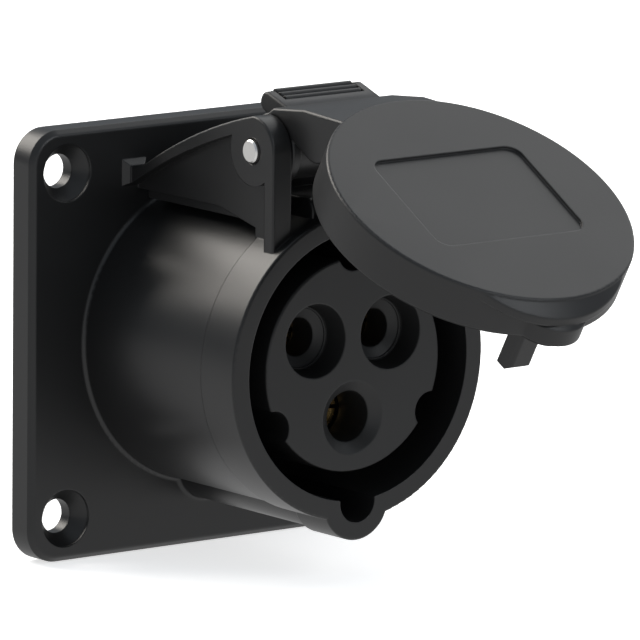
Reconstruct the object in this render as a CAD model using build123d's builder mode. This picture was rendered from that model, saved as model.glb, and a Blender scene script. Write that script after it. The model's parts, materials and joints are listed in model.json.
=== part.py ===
from build123d import *
import os
from math import cos, radians, sin, sqrt, tan

os.makedirs("parts", exist_ok=True)

# Frame: the panel plane is Y = 0, the socket axis runs along -Y towards the user,
# Z is up with the hinge on top, and the origin is the middle of the flange's back face.

# Square mounting flange
mount_spacing = 60.0
flange_margin = 7.5
flange_thickness = 5.3
flange_corner_radius = 5.9
flange_edge_chamfer = 0.9
mount_hole_radius = 2.95
mount_sink_radius = 5.0
mount_sink_land = 0.5

# Barrel
barrel_length = 48.2
barrel_rear_radius = 26.2
barrel_root_chamfer = 0.8
front_band_radius = 26.7
front_band_length = 9.1
front_edge_radius = 0.5
collar_bore_radius = 23.3
collar_floor_height = 10.0
collar_floor_thickness = 3.5
rear_cavity_radius = 23.9

# Keyway at six o'clock, inside and out
key_drop = 23.4
key_slot_radius = 3.7
key_slot_floor_height = 12.0
key_rib_radius = 6.2
key_bump_radius = 6.8

# Back groove for the flange gasket
flange_gasket_groove_inner = 27.6
flange_gasket_groove_width = 3.2
flange_gasket_groove_depth = 1.2
flange_gasket_proud = 0.6
flange_gasket_side_gap = 0.15

# Hinge
hinge_height = 37.3
hinge_reach = 40.3
hinge_pin_radius = 2.0
hinge_pin_end_chamfer = 0.25
hinge_pin_proud = 0.6
hinge_running_fit = 0.05
hinge_press_fit = 0.02
lid_open_angle = 60.0

# Hinge ears on the housing
ear_inner_half_gap = 13.3
ear_thickness = 3.8
ear_web_thickness = 1.6
ear_boss_radius = 6.0
ear_front_rim = 2.5
ear_edge_radius = 0.4
ear_bore_chamfer = 0.35
ear_embed = 1.5
ear_root_flare = 1.0
ear_root_step = 0.3
ear_arch_mid_reach = 24.5
ear_arch_mid_height = 38.2
ear_arch_foot_reach = 9.8
ear_arch_foot_height = 31.0
ear_shelf_height = 30.0
ear_rim_thickness = 2.3
ear_hollow_lift = 0.6
ear_web_low_height = 26.1
ear_web_bend_reach = 28.3
ear_window_reach = 38.5
ear_window_height = 23.8
ear_root_height = 19.5
ear_floor_thickness = 1.5
ear_floor_start = 7.2
ear_floor_reach = 34.0

# Spring block and stop wall between the ears
block_half_width = 7.9
block_top_height = 28.8
block_front_reach = 45.3
block_front_radius = 2.2
block_rim_radius = 0.4
stop_wall_reach = 30.2
stop_wall_thickness = 2.2
stop_wall_height = 37.3

# Lid
lid_radius = 27.1
lid_top_reach = 57.2
lid_height = 7.6
lid_edge_radius = 0.5
lid_top_thickness = 2.2
lid_skirt_wall = 1.5
lid_well_radius = 21.9
lid_gasket_seat_depth = 4.9
lid_panel_width = 31.0
lid_panel_depth_along = 23.0
lid_panel_offset = 0.8
lid_panel_corner = 2.6
lid_panel_recess = 0.5
lip_top_radius = 26.6
lip_centre_drop = 9.6
lip_arc_radius = 19.8
lip_slope_angle = 41.4
lip_band_height = 1.5
lip_round = 0.5
lip_bump_drop = 3.7
lip_bump_chamfer = 0.8
lug_width = 4.3
lug_outer_drop = 22.9
lug_thickness = 3.5
lug_length = 15.5
lug_tip_slope = 1.3
lug_edge_radius = 0.6

# Lid hood, arms and thumb tab
arm_outer_half_width = 13.0
arm_thickness = 1.7
arm_boss_radius = 6.2
hood_thickness = 2.0
hood_top_out = 6.2
hood_top_up = 3.3
hood_knee_out = 11.15
hood_knee_drop = 3.7
hood_foot_out = 16.5
hood_foot_drop = 14.3
hood_edge_radius = 0.5
arm_inner_out = 4.6
arm_corner_radius = 3.8
arm_foot_drop = 12.7
knuckle_radius = 5.4
knuckle_inner_half_gap = 3.5
tab_half_width = 10.2
tab_top_out = 4.9
tab_back_out = 1.8
tab_top_up = 9.8
tab_top_radius = 1.5
tab_edge_radius = 0.5
tab_floor_out = 3.9
tab_rib_radius = 0.55
tab_rib_pitch = 1.4
tab_rib_first_up = 6.75
tab_rib_count = 3
tab_rib_end_gap = 0.35
tab_pocket_half_width = 8.5
tab_pocket_low_up = 5.7

# Lid gasket
lid_gasket_inner_radius = 23.6
lid_gasket_outer_radius = 25.3
lid_gasket_key_inner = 3.9
lid_gasket_key_outer = 5.1
lid_gasket_squeeze_gap = 0.05

# Torsion spring
spring_wire_radius = 0.5
spring_coil_radius = 2.95
spring_turns = 4.25
spring_pitch = 1.2
spring_leg_gap = 0.05
spring_lid_leg_length = 9.0
spring_rest_start = 4.5
spring_rest_half_width = 1.1

# Contact carrier
carrier_radius = 18.5
carrier_face_recess = 1.6
carrier_floor_fit = 0.2
carrier_flange_radius = 23.6
carrier_flange_thickness = 3.0
carrier_edge_radius = 0.4
notch_centre_radius = 19.4
notch_radius = 3.3
notch_floor_height = 10.0
live_offset = 8.0
live_rise = 4.75
live_mouth_radius = 6.4
live_mouth_taper_radius = 5.6
live_mouth_depth = 4.3
live_funnel_depth = 0.9
live_hole_radius = 3.3
earth_drop = 9.2
earth_mouth_radius = 6.35
earth_hole_radius = 4.4
earth_mouth_depth = 1.5

# Contacts
live_pin_radius = 2.5
live_sleeve_radius = 3.6
live_sleeve_front_height = 35.0
live_bore_radius = 4.7
earth_pin_radius = 3.0
earth_sleeve_radius = 4.1
earth_sleeve_front_height = 36.4
earth_bore_radius = 5.2
sleeve_slot_width = 0.7
sleeve_slot_length = 18.0
sleeve_bore_length = 26.0
sleeve_mouth_chamfer = 0.4
contact_shoulder_margin = 1.1
contact_shoulder_thickness = 2.0
contact_seat_gap = 0.1
sleeve_front_gap = 0.6
contact_side_gap = 0.3
terminal_length = 14.0
terminal_radius = 4.4
terminal_wire_radius = 1.9
terminal_wire_depth = 10.0
terminal_screw_height_back = 5.5

# Contact rings
ring_groove_depth = 0.35
ring_groove_width = 1.5
ring_groove_back = 4.0
ring_wire_radius = 0.55
ring_gap_angle = 30.0

# Terminal block
block_radius = 20.0
terminal_block_length = 17.4
terminal_bore_fit = 0.25
terminal_mouth_radius = 3.2
terminal_access_radius = 3.3
block_edge_radius = 0.6

# Screws
terminal_screw_radius = 1.75
terminal_screw_head_radius = 2.6
terminal_screw_head_height = 2.0
terminal_screw_tip_gap = 0.3
carrier_screw_radius = 1.25
carrier_screw_head_radius = 2.5
carrier_screw_head_height = 2.2
carrier_screw_circle = 20.5
carrier_screw_length = 6.0
carrier_screw_hole_fit = 0.15
block_screw_radius = 1.9
block_screw_head_radius = 3.4
block_screw_head_height = 2.6
block_screw_length = 21.0
slot_width = 0.9
slot_depth = 1.0
block_screw_carrier_depth = 9.0
block_screw_hole_fit = 0.3
block_screw_head_gap = 0.5
block_screw_recess = 4.0
screw_thread_bite = 0.02

front = Plane.XZ
side = Plane(origin=(0, 0, 0), x_dir=(0, -1, 0), z_dir=(-1, 0, 0))

# Lid frame: origin on the hinge axis, X along it, Y from the lid's middle to the hinge,
# Z out of the lid's face. The photo's part-open angle is its rest.
open_cos = cos(radians(lid_open_angle))
open_sin = sin(radians(lid_open_angle))
hinge_point = (0, -hinge_reach, hinge_height)
lid_outward = (0, -open_cos, open_sin)
lid_frame = Plane(origin=hinge_point, x_dir=(1, 0, 0), z_dir=lid_outward)
lid_side = Plane(origin=hinge_point, x_dir=lid_outward, z_dir=(-1, 0, 0))

ear_front_reach = hinge_reach + ear_boss_radius
collar_floor_back = collar_floor_height - collar_floor_thickness
front_band_start = barrel_length - front_band_length
flange_size = mount_spacing + 2 * flange_margin

# Outline of one hinge ear in the side plane: reach from the panel, height
with BuildSketch() as ear_outline:
    with BuildLine():
        arch_start = (ear_arch_foot_reach, ear_arch_foot_height)
        arch_end = (hinge_reach, hinge_height + ear_boss_radius)
        ThreePointArc(arch_start, (ear_arch_mid_reach, ear_arch_mid_height), arch_end)
        TangentArc(arch_end, (ear_front_reach, hinge_height), tangent=(1, 0))
        Polyline(
            (ear_front_reach, hinge_height),
            (ear_front_reach, ear_root_height),
            (ear_window_reach, ear_root_height),
            (ear_window_reach, ear_window_height),
            (ear_web_bend_reach, ear_web_low_height),
            (flange_thickness - ear_embed, ear_web_low_height),
            (flange_thickness - ear_embed, ear_shelf_height),
            (flange_thickness, ear_shelf_height),
            arch_start,
        )
    make_face()

# Hollow on the ear's outer side: it leaves the arched rim, the pin boss and the front strip
with BuildSketch() as ear_hollow:
    with BuildLine():
        hollow_foot = (flange_thickness, ear_web_low_height + ear_hollow_lift)
        hollow_mid = (ear_arch_mid_reach, ear_arch_mid_height - ear_rim_thickness)
        hollow_end = (hinge_reach, hinge_height + ear_boss_radius - ear_rim_thickness)
        strip_reach = ear_front_reach - ear_front_rim
        ThreePointArc(hollow_foot, hollow_mid, hollow_end)
        Polyline(
            hollow_end,
            (strip_reach, hinge_height),
            (strip_reach, 0),
            (flange_thickness, 0),
            hollow_foot,
        )
    make_face()
    with Locations((hinge_reach, hinge_height)):
        Circle(ear_boss_radius, mode=Mode.SUBTRACT)

# One hinge ear: rounded rim, root flared on the flange, hollow side and a chamfered pin bore
with BuildPart() as ear:
    with BuildSketch(side.offset(ear_inner_half_gap)):
        add(ear_outline.sketch)
    extrude(amount=ear_thickness)
    fillet(ear.faces().sort_by(Axis.X)[0].edges(), ear_edge_radius)
    with BuildSketch(front.offset(flange_thickness)):
        with Locations((-ear_inner_half_gap, ear_web_low_height)):
            Rectangle(
                ear_thickness + ear_root_flare + ear_root_step,
                ear_shelf_height + ear_root_flare + ear_root_step - ear_web_low_height,
                align=(Align.MAX, Align.MIN),
            )
    extrude(amount=ear_root_flare, taper=45)
    with BuildSketch(side.offset(ear_inner_half_gap + ear_web_thickness)):
        add(ear_hollow.sketch)
    extrude(amount=2 * ear_thickness, mode=Mode.SUBTRACT)
    with BuildSketch(side.offset(ear_inner_half_gap)):
        with Locations((hinge_reach, hinge_height)):
            Circle(hinge_pin_radius + hinge_press_fit)
    extrude(amount=ear_thickness, mode=Mode.SUBTRACT)
    pin_rims = ear.edges().filter_by(GeomType.CIRCLE).filter_by(lambda e: e.radius < ear_boss_radius / 2)
    chamfer(pin_rims.sort_by(Axis.X)[0], ear_bore_chamfer)

with BuildPart() as housing:
    with BuildSketch(front):
        RectangleRounded(flange_size, flange_size, flange_corner_radius)
    extrude(amount=flange_thickness)
    chamfer(housing.faces().sort_by(Axis.Y)[0].edges(), flange_edge_chamfer)

    # Barrel with the keyway rib, then the wider band at its mouth
    with BuildSketch(front.offset(flange_thickness)):
        Circle(barrel_rear_radius)
        with Locations((0, -key_drop)):
            Circle(key_rib_radius)
    extrude(amount=front_band_start - flange_thickness)
    root_edges = housing.edges().filter_by_position(
        Axis.Y, -flange_thickness, -flange_thickness, inclusive=(True, True)
    ).filter_by(GeomType.CIRCLE).filter_by(lambda e: e.length > key_rib_radius)
    fillet(root_edges.filter_by(lambda e: e.radius < barrel_rear_radius + 1), barrel_root_chamfer)
    with BuildSketch(front.offset(front_band_start)):
        Circle(front_band_radius)
        with Locations((0, -key_drop)):
            Circle(key_bump_radius)
    extrude(amount=front_band_length)
    fillet(housing.faces().sort_by(Axis.Y)[0].edges(), front_edge_radius)

    # Both hinge ears and the floor that joins them
    add(ear.part)
    add(ear.part.mirror(Plane.YZ))
    with BuildSketch(side):
        with BuildLine():
            Polyline(
                (ear_floor_start, ear_web_low_height),
                (ear_web_bend_reach, ear_web_low_height),
                (ear_window_reach, ear_window_height),
                (ear_floor_reach, ear_web_low_height - ear_floor_thickness),
                (ear_floor_start, ear_web_low_height - ear_floor_thickness),
                close=True,
            )
        make_face()
    extrude(amount=ear_inner_half_gap + ear_web_thickness / 2, both=True)

    # Spring block and the wall that stops the open lid
    with BuildSketch(side):
        with BuildLine():
            Polyline(
                (stop_wall_reach, ear_root_height),
                (stop_wall_reach, block_top_height),
                (block_front_reach, block_top_height),
                (block_front_reach, ear_root_height),
                close=True,
            )
        make_face()
        corner = vertices().sort_by(Axis.Y)[-2:].sort_by(Axis.X)[-1]
        fillet(corner, block_front_radius)
    extrude(amount=block_half_width, both=True)
    block_rims = housing.edges().filter_by_position(Axis.Z, block_top_height, block_top_height).filter_by(
        lambda e: abs(abs(e.center().X) - block_half_width) < block_rim_radius
    )
    fillet(block_rims, block_rim_radius)
    with BuildSketch(front.offset(stop_wall_reach)):
        with Locations((0, stop_wall_height)):
            Rectangle(
                2 * ear_inner_half_gap + ear_web_thickness,
                stop_wall_height - ear_web_low_height,
                align=(Align.CENTER, Align.MAX),
            )
    extrude(amount=stop_wall_thickness)

    # Plug space, keyway slot, carrier opening and rear cavity
    with BuildSketch(front.offset(collar_floor_height)):
        Circle(collar_bore_radius)
    extrude(amount=barrel_length, mode=Mode.SUBTRACT)
    with BuildSketch(front.offset(key_slot_floor_height)):
        with Locations((0, -key_drop)):
            Circle(key_slot_radius)
    extrude(amount=barrel_length, mode=Mode.SUBTRACT)
    with BuildSketch(front):
        Circle(carrier_radius + carrier_floor_fit)
    extrude(amount=barrel_length, mode=Mode.SUBTRACT)
    with BuildSketch(front):
        Circle(rear_cavity_radius)
    extrude(amount=collar_floor_back, mode=Mode.SUBTRACT)

    # Groove for the flange gasket
    with BuildSketch(front):
        Circle(flange_gasket_groove_inner + flange_gasket_groove_width)
        Circle(flange_gasket_groove_inner, mode=Mode.SUBTRACT)
    extrude(amount=flange_gasket_groove_depth, mode=Mode.SUBTRACT)

    # Countersunk panel screw holes with a short land at the face
    with Locations(front.offset(flange_thickness - mount_sink_land)):
        with GridLocations(mount_spacing, mount_spacing, 2, 2):
            CounterSinkHole(mount_hole_radius, mount_sink_radius)

    # Screw holes in the collar floor
    with BuildSketch(front.offset(collar_floor_back)):
        with PolarLocations(carrier_screw_circle, 3, start_angle=90):
            Circle(carrier_screw_radius + carrier_screw_hole_fit)
    extrude(amount=collar_floor_thickness, mode=Mode.SUBTRACT)

housing.part.label = "housing"
export_step(housing.part, "parts/housing.step")

# Lid, drawn in its own frame with the disc's middle one hinge height below the axis
lid_top = lid_top_reach - hinge_reach
lid_bottom = lid_top - lid_height
lid_centre = (0, -hinge_height)
lid_key = (0, -hinge_height - key_drop)
spring_length = spring_turns * spring_pitch
spring_leg_top = spring_coil_radius + spring_wire_radius + spring_leg_gap

# Hood section: a line that bends at its knee, and the same line one thickness inwards
hood_top = (hood_top_out, hood_top_up)
hood_knee = (hood_knee_out, -hood_knee_drop)
hood_foot = (hood_foot_out, -hood_foot_drop)


def line_normal(start, end):
    run, rise = end[0] - start[0], end[1] - start[1]
    length = sqrt(run ** 2 + rise ** 2)
    return (-rise / length, run / length)


upper_normal = line_normal(hood_top, hood_knee)
lower_normal = line_normal(hood_knee, hood_foot)
knee_share = 1 + upper_normal[0] * lower_normal[0] + upper_normal[1] * lower_normal[1]
knee_normal = (
    (upper_normal[0] + lower_normal[0]) / knee_share,
    (upper_normal[1] + lower_normal[1]) / knee_share,
)


def moved_in(point, normal):
    return (point[0] - hood_thickness * normal[0], point[1] - hood_thickness * normal[1])


# Point of the side section: distance along the spring's leg from the hinge, distance off the axis
def leg_point(along, off):
    return (open_cos * along + open_sin * off, open_cos * off - open_sin * along)


hood_middle_off = hood_top_out * open_sin + hood_top_up * open_cos - hood_thickness / 2

with BuildSketch() as arm_shape:
    with BuildLine():
        arm_inner_start = (arm_inner_out, -arm_foot_drop + arm_corner_radius)
        arm_inner_end = (arm_inner_out + arm_corner_radius, -arm_foot_drop)
        Polyline(
            arm_inner_start,
            (arm_inner_out, 0),
            (0, 0),
            (0, arm_boss_radius),
            hood_top,
            hood_knee,
            hood_foot,
            (arm_inner_end[0], -hood_foot_drop),
            arm_inner_end,
        )
        TangentArc(arm_inner_start, arm_inner_end, tangent=(0, -1))
    make_face()
    Circle(arm_boss_radius)

# Arms with their bosses round the pin, the hood between them, the knuckle and the thumb tab
with BuildPart() as lid_hood:
    for hand in (1, -1):
        with BuildSketch(lid_side.offset(hand * (arm_outer_half_width - arm_thickness))):
            add(arm_shape.sketch)
        extrude(amount=hand * arm_thickness)
    with BuildSketch(lid_side):
        Polygon(
            hood_top,
            hood_knee,
            hood_foot,
            moved_in(hood_foot, lower_normal),
            moved_in(hood_knee, knee_normal),
            moved_in(hood_top, upper_normal),
            align=None,
        )
    extrude(amount=arm_outer_half_width, both=True)
    with BuildSketch(lid_side):
        Circle(knuckle_radius)
    extrude(amount=arm_outer_half_width, both=True)
    arm_sides = lid_hood.faces().filter_by(Axis.X).sort_by(Axis.X)
    fillet(arm_sides[0].edges() + arm_sides[-1].edges(), hood_edge_radius)

with BuildPart() as tab:
    with BuildSketch(lid_side):
        with BuildLine():
            Polyline(
                (tab_back_out, 0),
                (tab_back_out, tab_top_up),
                (tab_top_out, tab_top_up),
                hood_top,
                (hood_top_out, 0),
                close=True,
            )
        make_face()
        fillet(vertices().sort_by(Axis.Y)[-2:], tab_top_radius)
    extrude(amount=tab_half_width, both=True)
    cheeks = tab.faces().filter_by(Axis.X).sort_by(Axis.X)
    fillet(cheeks[0].edges() + cheeks[-1].edges(), tab_edge_radius)
    with BuildSketch(lid_frame.offset(tab_floor_out)):
        with Locations((0, tab_pocket_low_up)):
            Rectangle(2 * tab_pocket_half_width, tab_top_up, align=(Align.CENTER, Align.MIN))
    extrude(amount=hood_top_out, mode=Mode.SUBTRACT)
    with BuildSketch(lid_side):
        for row in range(tab_rib_count):
            with Locations((tab_floor_out, tab_rib_first_up + row * tab_rib_pitch)):
                Circle(tab_rib_radius)
    extrude(amount=tab_pocket_half_width - tab_rib_end_gap, both=True)

# Visor lip over the keyway: a cone off the lid's top edge, cut to an arc in plan
lip_slope = tan(radians(lip_slope_angle))
lip_reach = lip_centre_drop + lip_arc_radius + lip_round
lip_fall = (lip_reach - lip_top_radius) * lip_slope
lid_middle = lid_frame.from_local_coords((0, -hinge_height, 0))
with BuildPart() as lip:
    with BuildSketch(Plane(origin=lid_middle, x_dir=-lid_frame.y_dir, z_dir=-lid_frame.x_dir)):
        Polygon(
            (0, lid_top),
            (lip_top_radius, lid_top),
            (lip_reach, lid_top - lip_fall),
            (lip_reach, lid_top - lip_fall - lip_band_height),
            (lip_top_radius, lid_top - lip_band_height),
            (0, lid_top - lip_band_height),
            align=None,
        )
    revolve(axis=Axis(lid_middle, lid_frame.z_dir))
    with BuildSketch(lid_frame.offset(lid_bottom)):
        with Locations((0, -hinge_height - lip_centre_drop)):
            Circle(lip_arc_radius)
    extrude(amount=lid_height, mode=Mode.INTERSECT)
    fillet(lip.edges().filter_by(GeomType.BSPLINE).sort_by(Axis(lid_middle, lid_frame.z_dir))[-1], lip_round)

# Retaining lug that catches the plug, its outer corners rounded
lug_outer = -hinge_height - lug_outer_drop
lug_root = lid_top - lid_top_thickness / 2
lug_tip = lid_top - lid_top_thickness - lug_length
with BuildPart() as lug:
    with BuildSketch(lid_side):
        Polygon(
            (lug_root, lug_outer),
            (lug_tip, lug_outer),
            (lug_tip - lug_tip_slope, lug_outer + lug_tip_slope),
            (lug_tip - lug_tip_slope, lug_outer + lug_thickness),
            (lug_root, lug_outer + lug_thickness),
            align=None,
        )
    extrude(amount=lug_width / 2, both=True)
    lug_corners = lug.edges().filter_by(Axis(hinge_point, lid_outward))
    fillet(lug_corners.sort_by(Axis(hinge_point, lid_frame.y_dir))[:2], lug_edge_radius)

with BuildPart() as lid:
    with BuildSketch(lid_frame.offset(lid_bottom)):
        with Locations(lid_centre):
            Circle(lid_radius)
    extrude(amount=lid_height)
    fillet(lid.edges().sort_by(lambda e: e.center().Z)[-1], lid_edge_radius)
    add(lip.part)
    with BuildSketch(lid_frame.offset(lid_bottom)):
        with Locations(lid_key):
            Circle(key_bump_radius)
    extrude(amount=lid_height - lip_bump_drop - lip_bump_chamfer)
    with BuildSketch(lid_frame.offset(lid_top - lip_bump_drop - lip_bump_chamfer)):
        with Locations(lid_key):
            Circle(key_bump_radius)
    extrude(amount=lip_bump_chamfer, taper=45)
    add(lid_hood.part)
    add(tab.part)

    # Rest for the spring's leg under the hood, then the middle gap and the pin bore
    with BuildSketch(lid_side.offset(spring_length / 2 - spring_rest_half_width)):
        Polygon(
            leg_point(spring_rest_start, hood_middle_off),
            leg_point(spring_lid_leg_length, hood_middle_off),
            leg_point(spring_lid_leg_length, spring_leg_top),
            leg_point(spring_rest_start, spring_leg_top),
            align=None,
        )
    extrude(amount=2 * spring_rest_half_width)
    with BuildSketch(lid_side):
        Circle(knuckle_radius + hinge_running_fit)
    extrude(amount=knuckle_inner_half_gap, both=True, mode=Mode.SUBTRACT)
    with BuildSketch(lid_side):
        Circle(hinge_pin_radius + hinge_running_fit)
    extrude(amount=arm_outer_half_width, both=True, mode=Mode.SUBTRACT)

    # Recessed panel on the face
    with BuildSketch(lid_frame.offset(lid_top - lid_panel_recess)):
        with Locations((0, -hinge_height + lid_panel_offset)):
            RectangleRounded(lid_panel_width, lid_panel_depth_along, lid_panel_corner)
    extrude(amount=lid_height, mode=Mode.SUBTRACT)

    # Gasket seat and well inside the lid
    with BuildSketch(lid_frame.offset(lid_top - lid_gasket_seat_depth)):
        with Locations(lid_centre):
            Circle(lid_radius - lid_skirt_wall)
        with Locations(lid_key):
            Circle(key_bump_radius - lid_skirt_wall)
    extrude(amount=-lid_height, mode=Mode.SUBTRACT)
    with BuildSketch(lid_frame.offset(lid_top - lid_top_thickness)):
        with Locations(lid_centre):
            Circle(lid_well_radius)
    extrude(amount=-lid_height, mode=Mode.SUBTRACT)

    add(lug.part)

lid.part.label = "lid"
export_step(lid.part, "parts/lid.step")

# Seal ring inside the lid: it follows the keyway and meets the barrel's mouth when closed
gasket_seat = lid_top - lid_gasket_seat_depth
gasket_face = barrel_length - hinge_reach + lid_gasket_squeeze_gap
with BuildPart() as lid_gasket:
    with BuildSketch(lid_frame.offset(gasket_seat)):
        with Locations(lid_centre):
            Circle(lid_gasket_outer_radius)
        with Locations(lid_key):
            Circle(lid_gasket_key_outer)
        with Locations(lid_centre):
            Circle(lid_gasket_inner_radius, mode=Mode.SUBTRACT)
        with Locations(lid_key):
            Circle(lid_gasket_key_inner, mode=Mode.SUBTRACT)
    extrude(amount=gasket_face - gasket_seat)
lid_gasket.part.label = "lid_gasket"
export_step(lid_gasket.part, "parts/lid_gasket.step")

# Hinge pin, a little proud of both ears
pin_half_length = ear_inner_half_gap + ear_thickness + hinge_pin_proud
with BuildPart() as hinge_pin:
    with BuildSketch(side):
        with Locations((hinge_reach, hinge_height)):
            Circle(hinge_pin_radius)
    extrude(amount=pin_half_length, both=True)
    chamfer(hinge_pin.edges().filter_by(GeomType.CIRCLE), hinge_pin_end_chamfer)
hinge_pin.part.label = "hinge_pin"
export_step(hinge_pin.part, "parts/hinge_pin.step")

# Torsion spring: one leg stands on the block, the other lies along the hood
spring_plane = Plane(
    origin=(spring_length / 2, -hinge_reach, hinge_height), x_dir=(0, 1, 0), z_dir=(-1, 0, 0)
)
spring_coil = spring_plane * Helix(spring_pitch, spring_length, spring_coil_radius, lefthand=True)
with BuildPart() as hinge_spring:
    with BuildSketch(Plane(origin=spring_coil @ 0, z_dir=spring_coil % 0)):
        Circle(spring_wire_radius)
    sweep(path=spring_coil, is_frenet=True)
    with BuildSketch(Plane(origin=spring_coil @ 0, z_dir=spring_coil % 0)):
        Circle(spring_wire_radius)
    extrude(amount=hinge_height - block_top_height - spring_leg_gap, dir=(0, 0, -1))
    with BuildSketch(Plane(origin=spring_coil @ 1, z_dir=spring_coil % 1)):
        Circle(spring_wire_radius)
    extrude(amount=spring_lid_leg_length, dir=(0, -1, 0))
hinge_spring.part.label = "hinge_spring"
export_step(hinge_spring.part, "parts/hinge_spring.step")

# Flange gasket in the back groove
with BuildPart() as flange_gasket:
    with BuildSketch(front.offset(-flange_gasket_proud)):
        Circle(flange_gasket_groove_inner + flange_gasket_groove_width - flange_gasket_side_gap)
        Circle(flange_gasket_groove_inner + flange_gasket_side_gap, mode=Mode.SUBTRACT)
    extrude(amount=flange_gasket_groove_depth + flange_gasket_proud)
flange_gasket.part.label = "flange_gasket"
export_step(flange_gasket.part, "parts/flange_gasket.step")

# Contact positions in the front plane
line_place = (-live_offset, live_rise)
neutral_place = (live_offset, live_rise)
earth_place = (0, -earth_drop)
carrier_front = barrel_length - carrier_face_recess
carrier_back = collar_floor_back - carrier_flange_thickness
shoulder_front = carrier_back + contact_shoulder_thickness
live_shoulder_radius = live_sleeve_radius + contact_shoulder_margin
earth_shoulder_radius = earth_sleeve_radius + contact_shoulder_margin


# Plane through a contact's axis: local x is the radius, local y the reach from the panel
def turning_plane(place):
    return Plane(origin=(place[0], 0, place[1]), x_dir=(1, 0, 0), z_dir=(0, 0, -1))


def turning_axis(place):
    return Axis((place[0], 0, place[1]), (0, -1, 0))


# Plane on a contact's axis whose normal points away from the socket's middle
def outward_plane(place, height):
    away = sqrt(place[0] ** 2 + place[1] ** 2)
    return Plane(
        origin=(place[0], -height, place[1]),
        x_dir=(0, -1, 0),
        z_dir=(place[0] / away, 0, place[1] / away),
    )


# Contact carrier: the round insulator with the guide holes for the pins
live_funnel_height = carrier_front - live_mouth_depth
live_mouth = [
    (0, carrier_front),
    (live_mouth_radius, carrier_front),
    (live_mouth_taper_radius, live_funnel_height),
    (live_hole_radius, live_funnel_height - live_funnel_depth),
    (live_hole_radius, live_sleeve_front_height + sleeve_front_gap),
    (live_bore_radius, live_sleeve_front_height + sleeve_front_gap),
    (live_bore_radius, shoulder_front),
    (live_shoulder_radius + contact_side_gap, shoulder_front),
    (live_shoulder_radius + contact_side_gap, carrier_back),
    (0, carrier_back),
]
earth_mouth = [
    (0, carrier_front),
    (earth_mouth_radius, carrier_front),
    (earth_hole_radius, carrier_front - earth_mouth_depth),
    (earth_hole_radius, earth_sleeve_front_height + sleeve_front_gap),
    (earth_bore_radius, earth_sleeve_front_height + sleeve_front_gap),
    (earth_bore_radius, shoulder_front),
    (earth_shoulder_radius + contact_side_gap, shoulder_front),
    (earth_shoulder_radius + contact_side_gap, carrier_back),
    (0, carrier_back),
]
with BuildPart() as contact_carrier:
    with BuildSketch(front.offset(carrier_back)):
        Circle(carrier_radius)
    extrude(amount=carrier_front - carrier_back)
    fillet(contact_carrier.faces().sort_by(Axis.Y)[0].edges(), carrier_edge_radius)
    with BuildSketch(front.offset(carrier_back)):
        Circle(carrier_flange_radius)
    extrude(amount=carrier_flange_thickness)
    with BuildSketch(front.offset(notch_floor_height)):
        with PolarLocations(notch_centre_radius, 3, start_angle=90):
            Circle(notch_radius)
    extrude(amount=carrier_front, mode=Mode.SUBTRACT)
    for place, mouth in ((line_place, live_mouth), (neutral_place, live_mouth), (earth_place, earth_mouth)):
        with BuildSketch(turning_plane(place)):
            Polygon(*mouth, align=None)
        revolve(axis=turning_axis(place), mode=Mode.SUBTRACT)
    with BuildSketch(front.offset(carrier_back)):
        with PolarLocations(carrier_screw_circle, 3, start_angle=90):
            Circle(carrier_screw_radius + screw_thread_bite)
    extrude(amount=carrier_flange_thickness, mode=Mode.SUBTRACT)
    with BuildSketch(front.offset(carrier_back)):
        Circle(block_screw_radius + screw_thread_bite)
    extrude(amount=block_screw_carrier_depth, mode=Mode.SUBTRACT)
contact_carrier.part.label = "contact_carrier"
export_step(contact_carrier.part, "parts/contact_carrier.step")

# Contacts: slotted sleeve, shoulder and screw terminal, turned from one bar
terminal_back = carrier_back - terminal_length
terminal_screw_height = terminal_back + terminal_screw_height_back
live_sizes = (live_sleeve_radius, live_pin_radius, live_sleeve_front_height)
earth_sizes = (earth_sleeve_radius, earth_pin_radius, earth_sleeve_front_height)
contact_places = {
    "line_contact": (line_place, live_sizes),
    "neutral_contact": (neutral_place, live_sizes),
    "earth_contact": (earth_place, earth_sizes),
}
for contact_name, (place, (sleeve_radius, pin_radius, sleeve_front)) in contact_places.items():
    ring_back = sleeve_front - ring_groove_back
    with BuildPart() as contact:
        with BuildSketch(turning_plane(place)):
            Polygon(
                (0, terminal_back),
                (terminal_radius, terminal_back),
                (terminal_radius, carrier_back),
                (sleeve_radius + contact_shoulder_margin, carrier_back),
                (sleeve_radius + contact_shoulder_margin, shoulder_front),
                (sleeve_radius, shoulder_front),
                (sleeve_radius, ring_back),
                (sleeve_radius - ring_groove_depth, ring_back),
                (sleeve_radius - ring_groove_depth, ring_back + ring_groove_width),
                (sleeve_radius, ring_back + ring_groove_width),
                (sleeve_radius, sleeve_front),
                (pin_radius + sleeve_mouth_chamfer, sleeve_front),
                (pin_radius, sleeve_front - sleeve_mouth_chamfer),
                (pin_radius, sleeve_front - sleeve_bore_length),
                (0, sleeve_front - sleeve_bore_length),
                align=None,
            )
        revolve(axis=turning_axis(place))
        with BuildSketch(front.offset(sleeve_front - sleeve_slot_length)):
            with Locations(place):
                Rectangle(sleeve_slot_width, 3 * sleeve_radius)
                Rectangle(3 * sleeve_radius, sleeve_slot_width)
        extrude(amount=sleeve_slot_length, mode=Mode.SUBTRACT)
        with BuildSketch(front.offset(terminal_back)):
            with Locations(place):
                Circle(terminal_wire_radius)
        extrude(amount=terminal_wire_depth, mode=Mode.SUBTRACT)
        with BuildSketch(outward_plane(place, terminal_screw_height)):
            Circle(terminal_screw_radius + screw_thread_bite)
        extrude(amount=2 * terminal_radius, mode=Mode.SUBTRACT)
    contact.part.label = contact_name
    export_step(contact.part, "parts/" + contact_name + ".step")

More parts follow.
